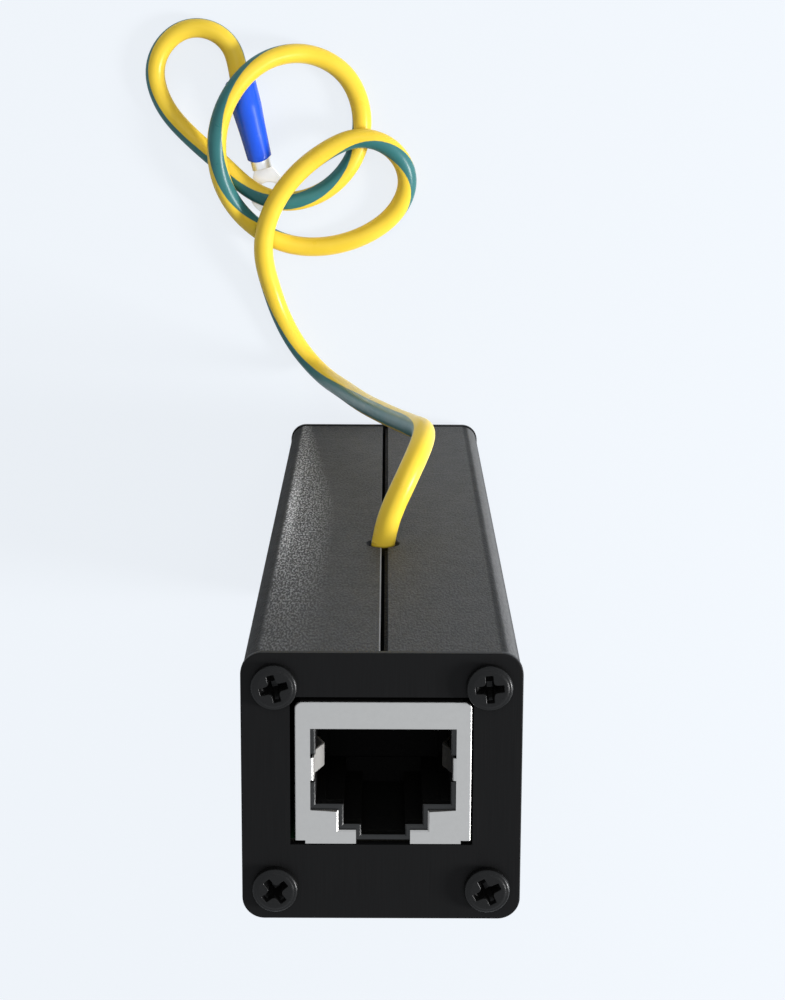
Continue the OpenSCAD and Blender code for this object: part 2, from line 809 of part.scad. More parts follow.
case_left();
case_right();
circuit_board();
earth_strip();
wire_joint();
ground_wire();
lead_core();
terminal_sleeve();
ring_terminal();
for (e = ends) {
    plate_at_end(e) end_plate();
    at_end(e) jack_shield();
    at_end(e) jack_housing();
    at_end(e) contact_carrier();
    for (i = [1:4]) screw_at_end(e, i);
    for (i = [1:8]) at_end(e) contact(i);
}
for (i = [1:4]) gas_tube(i);
for (i = [1:2]) suppressor_chip(i);
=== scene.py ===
import json
import math
import bmesh
import bpy
import numpy as np
from mathutils import Matrix, Vector


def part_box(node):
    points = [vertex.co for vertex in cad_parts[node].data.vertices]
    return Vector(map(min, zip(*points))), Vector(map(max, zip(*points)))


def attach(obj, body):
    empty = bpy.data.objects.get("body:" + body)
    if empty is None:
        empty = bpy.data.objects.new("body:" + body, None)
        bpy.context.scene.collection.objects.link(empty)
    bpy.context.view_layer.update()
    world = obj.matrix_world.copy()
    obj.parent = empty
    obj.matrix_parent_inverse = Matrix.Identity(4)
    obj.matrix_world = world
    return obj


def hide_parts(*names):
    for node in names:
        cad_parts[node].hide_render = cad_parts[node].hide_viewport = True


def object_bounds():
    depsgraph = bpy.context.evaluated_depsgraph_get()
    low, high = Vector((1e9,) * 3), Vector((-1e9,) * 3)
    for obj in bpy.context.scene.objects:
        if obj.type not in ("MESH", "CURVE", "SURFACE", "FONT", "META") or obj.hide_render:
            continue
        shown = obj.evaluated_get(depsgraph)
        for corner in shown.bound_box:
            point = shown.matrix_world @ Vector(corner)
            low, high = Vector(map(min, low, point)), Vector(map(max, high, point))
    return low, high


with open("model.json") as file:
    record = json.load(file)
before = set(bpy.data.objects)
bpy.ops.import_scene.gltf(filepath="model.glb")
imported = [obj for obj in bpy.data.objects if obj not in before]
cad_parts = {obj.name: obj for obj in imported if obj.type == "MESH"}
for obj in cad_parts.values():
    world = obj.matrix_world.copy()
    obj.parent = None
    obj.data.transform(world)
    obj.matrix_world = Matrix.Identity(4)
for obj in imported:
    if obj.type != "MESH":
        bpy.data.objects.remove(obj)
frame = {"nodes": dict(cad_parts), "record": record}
cadBox = [list(corner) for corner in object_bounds()]
nodes = frame["nodes"]
slotOf = {part["node"]: part["material_slot"] for part in frame["record"]["subparts"]}
bpy.context.scene.view_settings.view_transform = "Standard"
mm = 0.001
halfWay = (cadBox[0][2] + cadBox[1][2]) / 2  # between the two sockets
print("frame loaded:", len(nodes), "nodes")


def newObject(name, data):
    item = bpy.data.objects.new(name, data)
    bpy.context.collection.objects.link(item)
    return item


# Camera, fitted to the corners of the case, the plate and the socket in the photograph
cameraSetup = {
    "place": (0.00030, 0.06896, 0.27559),
    "lens": 74.73,
    "nearest": 0.01,
    "shift": -0.08,
    "tilt": 11.5035,  # degrees towards the plate, from straight down
    "turn": 0.1693,
    "roll": 0.2319,
}
lens = bpy.data.cameras.new("photoLens")
lens.lens = cameraSetup["lens"]
lens.shift_y = cameraSetup["shift"]
lens.clip_start = cameraSetup["nearest"]
camera = newObject("photoCamera", lens)
camera.matrix_world = (
    Matrix.Translation(cameraSetup["place"])
    @ Matrix.Rotation(-math.radians(cameraSetup["tilt"]), 4, "X")
    @ Matrix.Rotation(-math.radians(cameraSetup["turn"]), 4, "Y")
    @ Matrix.Rotation(math.radians(cameraSetup["roll"]), 4, "Z")
)
bpy.context.scene.camera = camera


def setInputs(node, inputs):
    # Another node's output is linked in, and a plain value is set on the socket itself
    for key, value in inputs.items():
        if isinstance(value, bpy.types.NodeSocket):
            node.id_data.links.new(value, node.inputs[key])
        else:
            node.inputs[key].default_value = value


def addNode(tree, kind, inputs=None, **settings):
    node = tree.nodes.new(kind)
    for key, value in settings.items():
        setattr(node, key, value)
    setInputs(node, inputs or {})
    return node


def newMaterial(name):
    material = bpy.data.materials.new(name)
    material.use_nodes = True
    tree = material.node_tree
    return material, tree, tree.nodes["Principled BSDF"]


def objectPlace(tree):
    return addNode(tree, "ShaderNodeTexCoord").outputs["Object"]


def axesOf(tree, vector):
    return addNode(tree, "ShaderNodeSeparateXYZ", {0: vector}).outputs


def stretched(tree, vector, scale):
    return addNode(tree, "ShaderNodeMapping", {"Vector": vector, "Scale": scale}).outputs[0]


def calc(tree, operation, first, *others):
    result = first
    for other in others:
        result = addNode(tree, "ShaderNodeMath", {0: result, 1: other}, operation=operation).outputs[0]
    return result


def distance(tree, value, middle=0.0):
    away = calc(tree, "SUBTRACT", value, middle)
    return addNode(tree, "ShaderNodeMath", {0: away}, operation="ABSOLUTE").outputs[0]


def noise(tree, vector, scale, detail):
    inputs = {"Vector": vector, "Scale": scale, "Detail": detail}
    return addNode(tree, "ShaderNodeTexNoise", inputs).outputs["Fac"]


def asColor(tone):
    # A grey number, a colour or a node's output, as a colour socket takes it
    if isinstance(tone, float):
        tone = (tone, tone, tone)
    return (*tone, 1) if isinstance(tone, tuple) else tone


def mixColor(tree, factor, a, b):
    inputs = {"Factor": factor, "A": asColor(a), "B": asColor(b)}
    return addNode(tree, "ShaderNodeMix", inputs, data_type="RGBA").outputs["Result"]


def mapRange(tree, value, low, high, toLow=0.0, toHigh=1.0):
    inputs = {"Value": value, "From Min": low, "From Max": high, "To Min": toLow, "To Max": toHigh}
    return addNode(tree, "ShaderNodeMapRange", inputs).outputs["Result"]


def mixNumber(tree, share, a, b):
    return mapRange(tree, share, 0, 1, a, b)


def fromGrain(tree, grain, span):
    # Most of a noise's values lie between 0.3 and 0.7
    return mapRange(tree, grain, 0.3, 0.7, *span)


def within(tree, value, low, high, ease):
    # 1 between two places and 0 beyond them, eased over a short way
    rise = mapRange(tree, value, low - ease, low + ease)
    return calc(tree, "MULTIPLY", rise, mapRange(tree, value, high + ease, high - ease))


def bumpFrom(tree, relief, strength, height):
    inputs = {"Height": relief, "Strength": strength, "Distance": height}
    return addNode(tree, "ShaderNodeBump", inputs).outputs["Normal"]


# Floor, room and lamps
studio = {
    "pale": (0.863, 0.905, 0.956),  # the photograph's background
    "shadowShare": 0.10,  # how much of the floor's real light and shadow the camera sees
    "mirroredShare": 1.0,  # and how much of it glossy surfaces see
    "floorHalf": 2,
    "floorRoughness": 0.9,
    "fill": (0.18, 0.46),  # from the left and from the right
    "aim": (0, 0.01, 0.07),
    "lamps": [  # name, place, size, power, whether it leaves highlights
        ("rightLamp", (0.41, -0.05, 0.25), 0.12, 3.0, True),
        ("topLamp", (0.04, 0.25, 0.50), 0.34, 0.9, False),
    ],
}


def seenShare(tree, direct, mirrored):
    # A number for what the camera sees directly or through glass, and another for what it sees mirrored
    path = addNode(tree, "ShaderNodeLightPath").outputs
    seen = calc(tree, "MAXIMUM", path["Is Camera Ray"], path["Is Transmission Ray"])
    seen = calc(tree, "MULTIPLY", seen, direct)
    return calc(tree, "MAXIMUM", seen, calc(tree, "MULTIPLY", path["Is Glossy Ray"], mirrored))


def makeFloorPaper():
    material, tree, surface = newMaterial("floorPaper")
    pale = asColor(studio["pale"])
    setInputs(surface, {"Base Color": pale, "Roughness": studio["floorRoughness"], "Specular IOR Level": 0})
    glow = addNode(tree, "ShaderNodeEmission", {"Color": pale, "Strength": 1})
    share = seenShare(tree, 1 - studio["shadowShare"], 1 - studio["mirroredShare"])
    mix = addNode(tree, "ShaderNodeMixShader", {0: share, 1: surface.outputs[0], 2: glow.outputs[0]})
    setInputs(tree.nodes["Material Output"], {"Surface": mix.outputs[0]})
    return material


floorCorners = [(x * studio["floorHalf"], y * studio["floorHalf"], 0)
                for x, y in ((-1, -1), (1, -1), (1, 1), (-1, 1))]
floorMesh = bpy.data.meshes.new("studioFloor")
floorMesh.from_pydata(floorCorners, [], [(0, 1, 2, 3)])
studioFloor = newObject("studioFloor", floorMesh)
floorMesh.materials.append(makeFloorPaper())

room = bpy.data.worlds.new("studioRoom")
bpy.context.scene.world = room
room.use_nodes = True
roomTree = room.node_tree
outward = addNode(roomTree, "ShaderNodeTexCoord").outputs["Generated"]
fill = mapRange(roomTree, axesOf(roomTree, outward)["X"], -1, 1, *studio["fill"])
setInputs(roomTree.nodes["Background"],
          {"Color": mixColor(roomTree, seenShare(roomTree, 1, 1), fill, studio["pale"])})

for name, place, size, power, highlights in studio["lamps"]:
    lamp = bpy.data.lights.new(name, "AREA")
    lamp.shape = "DISK"
    lamp.size = size
    lamp.energy = power
    lampObject = newObject(name, lamp)
    lampObject.location = place
    lampObject.visible_glossy = highlights
    lampObject.rotation_euler = (Vector(studio["aim"]) - Vector(place)).to_track_quat("-Z", "Y").to_euler()
print("camera, floor and lamps")

# Case: blasted and dyed black. The face with the lead has a painted highlight of brighter specks beside its
# left edge, painted shade on its left corner, a painted highlight on its right corner with painted shade on
# either side of it, and a painted highlight line on the seam's left lip. The seam has painted shade in its
# slot and on its step.
# Strips are given as from, to and the way over which they fade.
caseLook = {
    "grain": {"scale": 5800, "alongShare": 0.3, "spread": (0.35, 0.65), "bump": 1.0, "height": 0.10 * mm},
    "tones": ((0.018, 0.018, 0.0182), (0.060, 0.060, 0.0605)),
    "patches": {"scale": 500, "roughness": (0.54, 0.60)},
    # painted highlight: a band of brighter specks beside the face's left edge
    "band": {
        "edge": -11.0 * mm,
        "easeEdge": 0.3 * mm,
        "reach": (1.2 * mm, 5.6 * mm),  # its width at the rear end and where it is widest
        "widest": 45 * mm,
        "fullShare": 0.4,  # of its width
        "high": 60 * mm,  # from here it thins towards the front
        "fade": 32 * mm,
        "leastShare": 0.2,
        "face": 12.2 * mm,
    },
    # tones of the painted highlight's specks, in the band and where its painted glare lies
    "bandGlints": {"spread": (0.46, 0.62), "tones": (0.025, 0.42), "glareTones": (0.18, 0.95)},
    # a brighter patch of painted glare inside the band
    "glare": {"across": (-10.8 * mm, -9.8 * mm, 0.35 * mm), "along": (36 * mm, 60 * mm, 16 * mm)},
    # painted shade in the left, beside and outside strips, and a painted highlight in the light strip, by the
    # corners
    "corners": {"above": 10.5 * mm, "left": (-12.6 * mm, -11.0 * mm, 0.15 * mm),
                "beside": (10.55 * mm, 11.08 * mm, 0.12 * mm), "outside": (12.2 * mm, 12.6 * mm, 0.06 * mm),
                "light": (11.2 * mm, 12.1 * mm, 0.12 * mm), "lightTones": (0.05, 0.15)},
    # painted shade in the seam's slot and on its step
    "seam": {"half": 0.155 * mm, "below": 12.2 * mm, "stepHalf": 0.6 * mm, "stepBelow": 12.33 * mm},
    # a painted highlight line along the seam's left lip
    "lip": {"across": (-0.28 * mm, -0.14 * mm, 0.01 * mm), "above": 12.31 * mm, "front": 64.8 * mm},
    # flat tones of the painted shade by the corners, on the step and in the slot, and of the painted
    # highlight on the lip
    "flatTones": {"dark": 0.008, "step": 0.006, "lip": 0.26, "slot": 0.001},
    "gloss": {"plain": 0.14, "dark": 0.08, "step": 0.02},
}


def sheenBandShare(tree, x, y, z):
    # Painted highlight band: full along the face's left edge, thinning inwards and towards the front and
    # narrowing towards the rear
    band = caseLook["band"]
    inset = calc(tree, "SUBTRACT", x, band["edge"])
    reach = mapRange(tree, z, 0, band["widest"], *band["reach"])
    return calc(
        tree, "MULTIPLY",
        mapRange(tree, inset, reach, calc(tree, "MULTIPLY", reach, band["fullShare"])),
        mapRange(tree, inset, 0, band["easeEdge"]),
        mapRange(tree, z, band["high"] + band["fade"], band["high"], band["leastShare"]),
        calc(tree, "GREATER_THAN", y, band["face"]),
    )


# Shares of painted shade and painted highlight in strips along the face's corners
def cornerShares(tree, x, y):
    corners = caseLook["corners"]
    above = calc(tree, "GREATER_THAN", y, corners["above"])
    darkStrips = [within(tree, x, *corners[strip]) for strip in ("left", "beside", "outside")]
    dark = calc(tree, "MAXIMUM", *darkStrips)
    light = within(tree, x, *corners["light"])
    return calc(tree, "MULTIPLY", dark, above), calc(tree, "MULTIPLY", light, above)


def seamShares(tree, x, y, z):
    # Where the seam's slot and step get painted shade and its left lip a painted highlight line
    seam, lip = caseLook["seam"], caseLook["lip"]
    across, fromMiddle = distance(tree, x), distance(tree, y)
    inSlot = calc(tree, "MULTIPLY", calc(tree, "LESS_THAN", across, seam["half"]),
                  calc(tree, "LESS_THAN", fromMiddle, seam["below"]))
    onStep = calc(tree, "MULTIPLY", calc(tree, "LESS_THAN", across, seam["stepHalf"]),
                  calc(tree, "LESS_THAN", fromMiddle, seam["stepBelow"]))
    onLip = calc(tree, "MULTIPLY", within(tree, x, *lip["across"]),
                 calc(tree, "GREATER_THAN", y, lip["above"]), calc(tree, "GREATER_THAN", z, lip["front"]))
    return inSlot, onStep, onLip


def sandblastedBlack():
    grain, patches, bandGlints = caseLook["grain"], caseLook["patches"], caseLook["bandGlints"]
    glare, flat, gloss = caseLook["glare"], caseLook["flatTones"], caseLook["gloss"]
    material, tree, surface = newMaterial("sandblastedBlack")
    where = objectPlace(tree)
    x, y, z = axesOf(tree, where)
    fine = noise(tree, stretched(tree, where, (1, 1, grain["alongShare"])), grain["scale"], detail=2)
    broad = noise(tree, where, patches["scale"], detail=3)
    sheenBand = sheenBandShare(tree, x, y, z)
    glareShare = calc(tree, "MULTIPLY", within(tree, x, *glare["across"]), within(tree, z, *glare["along"]),
                  sheenBand)
    dark, light = cornerShares(tree, x, y)
    inSlot, onStep, onLip = seamShares(tree, x, y, z)
    tone = mixColor(tree, mapRange(tree, fine, *grain["spread"]), *caseLook["tones"])
    sparkle = mapRange(tree, fine, *bandGlints["spread"])
    # painted highlight: lighter specks in the band beside the left edge
    tone = mixColor(tree, sheenBand, tone, mixColor(tree, sparkle, *bandGlints["tones"]))
    # painted glare: the brightest part of the painted highlight
    tone = mixColor(tree, glareShare, tone, mixColor(tree, sparkle, *bandGlints["glareTones"]))
    # painted highlight on the right corner
    tone = mixColor(tree, light, tone, mixColor(tree, fine, *caseLook["corners"]["lightTones"]))
    # painted shade on the corners, the seam's step and its slot, and a painted highlight line on the lip
    for share, place in ((dark, "dark"), (onStep, "step"), (onLip, "lip"), (inSlot, "slot")):
        tone = mixColor(tree, share, tone, flat[place])
    setInputs(surface, {
        "Base Color": tone,
        "Roughness": calc(tree, "MAXIMUM", fromGrain(tree, broad, patches["roughness"]), inSlot),
        "Specular IOR Level": calc(tree, "MINIMUM", mixNumber(tree, onStep, gloss["plain"], gloss["step"]),
                                   mixNumber(tree, dark, gloss["plain"], gloss["dark"])),
        "Normal": bumpFrom(tree, fine, grain["bump"], grain["height"]),
    })
    return material


def around(color, spread):
    # A darker and a lighter tone of one colour
    return tuple(c * (1 - spread) for c in color), tuple(min(1, c * (1 + spread)) for c in color)


# Finishes with one grain all over, which their tones and roughness follow
grainedLooks = {
    "black_plate": {"name": "brushedPlateBlack", "scale": 9000, "stretch": (1, 0.02, 1), "detail": 2,
                    "tones": ((0.0036, 0.0036, 0.0038), (0.0068, 0.0068, 0.0071)),
                    "roughness": (0.42, 0.50), "gloss": 0.10, "height": 0.012 * mm},
    "black_screw": {"name": "screwBlack", "scale": 5000, "detail": 3,
                    "tones": (0.002, (0.006, 0.006, 0.0062)),
                    "roughness": (0.26, 0.38), "gloss": 0.22, "bump": 0.4},
    "blue_sleeve": {"name": "blueVinyl", "scale": 350, "detail": 3,
                    "tones": ((0.002, 0.065, 0.62), (0.006, 0.095, 0.80)),
                    "roughness": (0.20, 0.28), "gloss": 0.45, "bump": 0.2, "height": 0.04 * mm},
    "gold_contact": {"name": "goldPlate", "tones": around((0.80, 0.55, 0.20), 0.08),
                     "roughness": (0.20, 0.30), "metal": 1},
    "tinned_copper": {"name": "tinnedStrip", "tones": around((0.65, 0.63, 0.60), 0.15),
                      "roughness": (0.25, 0.35), "metal": 1},
    "solder": {"name": "brightSolder", "tones": around((0.60, 0.61, 0.62), 0.15),
               "roughness": (0.20, 0.30), "metal": 1, "height": 0.04 * mm},
    "copper": {"name": "bareCopper", "tones": around((0.75, 0.35, 0.18), 0.15),
               "roughness": (0.30, 0.40), "metal": 1},
    "tinned_terminal": {"name": "brightTin", "tones": around((0.95, 0.95, 0.95), 0.04),
                        "roughness": (0.37, 0.47), "metal": 0.8},
}


def grainedFinish(name, tones, roughness, scale=1200, stretch=None, detail=4, metal=0, gloss=0.5, bump=0.5,
                  height=0.01 * mm):
    material, tree, surface = newMaterial(name)
    where = objectPlace(tree)
    grain = noise(tree, stretched(tree, where, stretch) if stretch else where, scale, detail)
    setInputs(surface, {
        "Base Color": mixColor(tree, grain, *tones),
        "Metallic": metal,
        "Roughness": fromGrain(tree, grain, roughness),
        "Specular IOR Level": gloss,
        "Normal": bumpFrom(tree, grain, bump, height),
    })
    return material


# Shields: satin at the front, bright behind it, dull on the springs in the opening; painted shade on the
# springs, darker towards the right, and on top in the case
shieldLook = {
    "scale": 2500,
    "tones": around((0.505, 0.495, 0.478), 0.04),
    # the tone of the painted shade
    "darkTone": 0.02,
    "frontFrom": 49.72 * mm,  # from halfway between the sockets
    "springsWithin": 7.2 * mm,
    "springShade": (0.05, 0.97),  # how dark their painted shade is at the left and at the right
    "springMetal": 0.3,
    "topEdge": 0.2 * mm,  # how far below the shield's top the painted shade starts
    "roughness": (0.38, 0.15),  # at the front and behind it
    "bump": 0.5,
    "height": 0.01 * mm,
}


def nickelSheet():
    look = shieldLook
    material, tree, surface = newMaterial("nickelSheet")
    where = objectPlace(tree)
    x, y, z = axesOf(tree, where)
    mottle = noise(tree, where, look["scale"], detail=4)
    behind = calc(tree, "LESS_THAN", distance(tree, z, halfWay), look["frontFrom"])
    inOpening = calc(tree, "LESS_THAN", distance(tree, x), look["springsWithin"])
    onSpring = calc(tree, "MULTIPLY", inOpening, behind)
    # painted shade on the springs, from light at the left to dark at the right, and on the shield's top
    # inside the case
    shade = mapRange(tree, x, -look["springsWithin"], look["springsWithin"], *look["springShade"])
    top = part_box("front_jack_shield")[1].y - look["topEdge"]
    onTop = calc(tree, "MULTIPLY", behind, calc(tree, "GREATER_THAN", y, top))
    dark = calc(tree, "MAXIMUM", calc(tree, "MULTIPLY", onSpring, shade), onTop)
    setInputs(surface, {
        "Base Color": mixColor(tree, dark, mixColor(tree, mottle, *look["tones"]), look["darkTone"]),
        "Metallic": mixNumber(tree, onSpring, 1, look["springMetal"]),
        "Roughness": mixNumber(tree, calc(tree, "SUBTRACT", behind, onSpring), *look["roughness"]),
        "Normal": bumpFrom(tree, mottle, look["bump"], look["height"]),
    })
    return material


# Housings: matt inside and satin at the socket's rim, in that order
housingLook = {
    "scale": 4200,
    "tones": (0.0015, 0.006),
    "rimOver": (48.2 * mm, 49.2 * mm),  # from halfway between the sockets
    "roughness": (0.62, 0.32),
    "gloss": (0.07, 0.50),
    "bump": 0.6,
    "height": 0.02 * mm,
}


def mouldedBlack():
    look = housingLook
    material, tree, surface = newMaterial("mouldedBlack")
    where = objectPlace(tree)
    grain = noise(tree, where, look["scale"], detail=3)
    atRim = mapRange(tree, distance(tree, axesOf(tree, where)["Z"], halfWay), *look["rimOver"])
    setInputs(surface, {
        "Base Color": mixColor(tree, grain, *look["tones"]),
        "Roughness": mixNumber(tree, atRim, *look["roughness"]),
        "Specular IOR Level": mixNumber(tree, atRim, *look["gloss"]),
        "Normal": bumpFrom(tree, grain, look["bump"], look["height"]),
    })
    return material


# Board: bare laminate at the cut edges and in the holes, and solder mask on the two faces
boardLook = {
    "weave": {"Scale": 900, "Distortion": 1},
    "laminate": ((0.006, 0.006, 0.004), (0.012, 0.011, 0.007)),
    "cloud": 700,
    "mask": ((0.006, 0.036, 0.015), (0.012, 0.055, 0.023)),
    "faceFrom": 0.7,  # how squarely a masked surface faces along Y
    "roughness": (0.7, 0.32),
    "bump": 0.3,
    "height": 0.01 * mm,
}


def boardFinish():
    look = boardLook
    material, tree, surface = newMaterial("boardFinish")
    where = objectPlace(tree)
    outward = addNode(tree, "ShaderNodeNewGeometry").outputs["True Normal"]
    face = calc(tree, "GREATER_THAN", distance(tree, axesOf(tree, outward)["Y"]), look["faceFrom"])
    weave = addNode(tree, "ShaderNodeTexWave", {"Vector": where, **look["weave"]}).outputs["Fac"]
    laminate = mixColor(tree, weave, *look["laminate"])
    mask = mixColor(tree, noise(tree, where, look["cloud"], detail=3), *look["mask"])
    setInputs(surface, {
        "Base Color": mixColor(tree, face, laminate, mask),
        "Roughness": mixNumber(tree, face, *look["roughness"]),
        "Normal": bumpFrom(tree, weave, look["bump"], look["height"]),
    })
    return material


# Gas tubes: glazed ceramic, with tinned end caps, middle band and feet. Chips: a moulded body between tinned
# leads.
tinTones = ((0.60, 0.60, 0.61), (0.72, 0.72, 0.73))
tubeLook = {
    "scale": 1500,
    "body": ((0.72, 0.68, 0.62), (0.82, 0.79, 0.74)),
    "cap": 1.01 * mm,
    "bandHalf": 0.51 * mm,
    "roughness": (0.22, 0.34),
    "bump": 0.4,
    "height": 0.01 * mm,
}
chipLook = {
    "scale": 4000,
    "body": (0.012, (0.028, 0.028, 0.03)),
    "bodyHalf": 2.01 * mm,
    "roughness": (0.40, 0.55),
    "bump": 0.6,
    "height": 0.01 * mm,
}


def tinnedFinish(name, look, findMetal):
    material, tree, surface = newMaterial(name)
    where = objectPlace(tree)
    speck = noise(tree, where, look["scale"], detail=3)
    metal = findMetal(tree, axesOf(tree, where))
    body, tin = mixColor(tree, speck, *look["body"]), mixColor(tree, speck, *tinTones)
    setInputs(surface, {
        "Base Color": mixColor(tree, metal, body, tin),
        "Metallic": metal,
        "Roughness": fromGrain(tree, speck, look["roughness"]),
        "Normal": bumpFrom(tree, speck, look["bump"], look["height"]),
    })
    return material


def tubeFinish(node):
    low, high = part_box(node)

    def capsAndBand(tree, axes):
        along = distance(tree, axes["Z"], (low.z + high.z) / 2)
        return calc(tree, "MAXIMUM", calc(tree, "LESS_THAN", along, tubeLook["bandHalf"]),
                    calc(tree, "GREATER_THAN", along, (high.z - low.z) / 2 - tubeLook["cap"]))

    return tinnedFinish("finish_" + node, tubeLook, capsAndBand)


def chipFinish():
    def leads(tree, axes):
        return calc(tree, "GREATER_THAN", distance(tree, axes["X"]), chipLook["bodyHalf"])

    return tinnedFinish("chipFinish", chipLook, leads)


# Lead: yellow with one green stripe, whose place round it the mesh carries, and painted shade inside the case
leadLook = {
    "cloud": 260,
    "yellow": ((0.78, 0.535, 0.036), (0.86, 0.625, 0.062)),
    "green": ((0.025, 0.125, 0.128), (0.048, 0.192, 0.198)),
    "stripeHalf": 50,  # degrees each side of the stripe's middle
    "edge": 0.03,  # how soft its edges are
    "wander": {"scale": 700, "reach": 0.05},  # and how unevenly they run
    "shadedOver": (12.40 * mm, 12.15 * mm),  # from its own tones to the shade, on its way into the case
    "shade": (0.012, 0.010, 0.003),
    "roughness": (0.26, 0.36),
    "gloss": 0.22,
    "grain": {"scale": 2500, "bump": 0.15, "height": 0.02 * mm},
}


def insulationFinish():
    look, wander, grain = leadLook, leadLook["wander"], leadLook["grain"]
    material, tree, surface = newMaterial("stripedInsulation")
    where = objectPlace(tree)
    cloud = noise(tree, where, look["cloud"], detail=4)
    carried = addNode(tree, "ShaderNodeAttribute", attribute_name="stripe").outputs["Fac"]
    wandering = calc(tree, "MULTIPLY", noise(tree, where, wander["scale"], detail=2), wander["reach"])
    edge = math.cos(math.radians(look["stripeHalf"])) + wander["reach"] / 2
    stripe = mapRange(tree, calc(tree, "ADD", wandering, carried), edge - look["edge"], edge + look["edge"])
    yellow, green = mixColor(tree, cloud, *look["yellow"]), mixColor(tree, cloud, *look["green"])
    # painted shade where the lead goes into the case
    shaded = mapRange(tree, axesOf(tree, where)["Y"], *look["shadedOver"])
    relief = noise(tree, where, grain["scale"], detail=3)
    setInputs(surface, {
        "Base Color": mixColor(tree, shaded, mixColor(tree, stripe, yellow, green), look["shade"]),
        "Roughness": fromGrain(tree, cloud, look["roughness"]),
        "Specular IOR Level": look["gloss"],
        "Normal": bumpFrom(tree, relief, grain["bump"], grain["height"]),
    })
    return material


finishes = {slot: grainedFinish(**settings) for slot, settings in grainedLooks.items()}
finishes["black_anodised"] = sandblastedBlack()
finishes["nickel_shield"] = nickelSheet()
finishes["black_plastic"] = mouldedBlack()
finishes["board_green"] = boardFinish()
finishes["chip_black"] = chipFinish()
finishes["lead_insulation"] = insulationFinish()
for name, node in nodes.items():
    node.data.materials.clear()
    node.data.materials.append(tubeFinish(name) if name.startswith("gas_tube") else finishes[slotOf[name]])
print("finishes on", len(nodes), "nodes")


def newPiece(name, mesh, slot, replaced=()):
    mesh.materials.clear()
    mesh.materials.append(finishes[slot])
    piece = newObject(name, mesh)
    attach(piece, "root")
    if replaced:
        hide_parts(*replaced)
    return piece


def shadeSmooth(mesh, creaseAngle):
    mesh.polygons.foreach_set("use_smooth", [True] * len(mesh.polygons))
    mesh.set_sharp_from_angle(angle=math.radians(creaseAngle))


def meshFrom(name, verts, faces, creaseAngle):
    mesh = bpy.data.meshes.new(name)
    mesh.from_pydata([tuple(v) for v in verts], [], faces)
    mesh.validate()
    shadeSmooth(mesh, creaseAngle)
    return mesh


def ringFaces(ringCount, sides, joined=False):
    # Quads between neighbouring rings of points, capped at both ends or joined from the last to the first
    faces = []
    for i in range(ringCount if joined else ringCount - 1):
        j = (i + 1) % ringCount
        for k in range(sides):
            m = (k + 1) % sides
            faces.append((i * sides + k, i * sides + m, j * sides + m, j * sides + k))
    if not joined:
        faces.append(tuple(range(sides - 1, -1, -1)))
        faces.append(tuple((ringCount - 1) * sides + k for k in range(sides)))
    return faces


# Case, plates, sockets and ring terminal: the frame's own solids with their sharp edges eased
easedEdges = {  # node: name, how far its sharp edges are eased, and the folded edge round its front
    "case_left": ("caseLeftHalf", 0.10 * mm, 0),
    "case_right": ("caseRightHalf", 0.10 * mm, 0),
    "front_plate": ("frontEndPlate", 0.12 * mm, 0),
    "rear_plate": ("rearEndPlate", 0.12 * mm, 0),
    "front_jack_shield": ("frontShield", 0.15 * mm, 0.23 * mm),
    "rear_jack_shield": ("rearShield", 0.15 * mm, 0.23 * mm),
    "front_jack_housing": ("frontHousing", 0.12 * mm, 0),
    "rear_jack_housing": ("rearHousing", 0.12 * mm, 0),
    "ring_terminal": ("ringTerminal", 0.15 * mm, 0),
}
easing = {
    "sharpFrom": 30,  # degrees
    "foldFrom": 60,
    "foldFacets": 3,
    "foldNear": 0.7 * mm,  # how near a fold is to the shield's side or top
    "foldFacing": 0.1,  # and how far its wall faces that way at least
    "onPlane": 0.01 * mm,
    "outline": 1 * mm,  # the width of a plate's border that holds its outline
    "opening": {"half": 6.9 * mm, "low": -5.2 * mm, "side": 6 * mm},  # its rim lies inside these
    "facets": {"socket": 1, "other": 2},
    "creases": {"socket": 40, "other": 50},  # degrees
    "merged": 0.0002 * mm,
    "flatWithin": 0.6,  # degrees
}


def frontOf(node):
    low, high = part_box(node)
    return high.z if node.startswith("front") else low.z


def easeEdges(shape, edges, width, segments):
    bmesh.ops.bevel(shape, geom=edges, offset=width, offset_type="OFFSET", segments=segments, profile=0.5,
                    affect="EDGES", clamp_overlap=True)


def onRim(ends, node, front):
    # On the rim of the opening, save for the sides of a shield's, where its springs join it
    opening = easing["opening"]
    onFront = all(abs(end.z - front) < easing["onPlane"] for end in ends)
    inside = all(abs(end.x) < opening["half"] and end.y > opening["low"] for end in ends)
    atSpring = node.endswith("shield") and all(abs(end.x) > opening["side"] for end in ends)
    return onFront and inside and not atSpring


def sharpEdges(shape, node):
    # On a plate its outline, on a shield or housing the rim of the opening, elsewhere every sharp edge
    front = frontOf(node)
    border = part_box(node)[1].x - easing["outline"]
    edges = []
    for edge in shape.edges:
        if edge.calc_face_angle(0) < math.radians(easing["sharpFrom"]):
            continue
        ends = [v.co for v in edge.verts]
        if node.endswith("plate"):
            kept = all(max(abs(end.x), abs(end.y)) > border for end in ends)
        elif "jack" in node:
            kept = onRim(ends, node, front)
        else:
            kept = True
        if kept:
            edges.append(edge)
    return edges


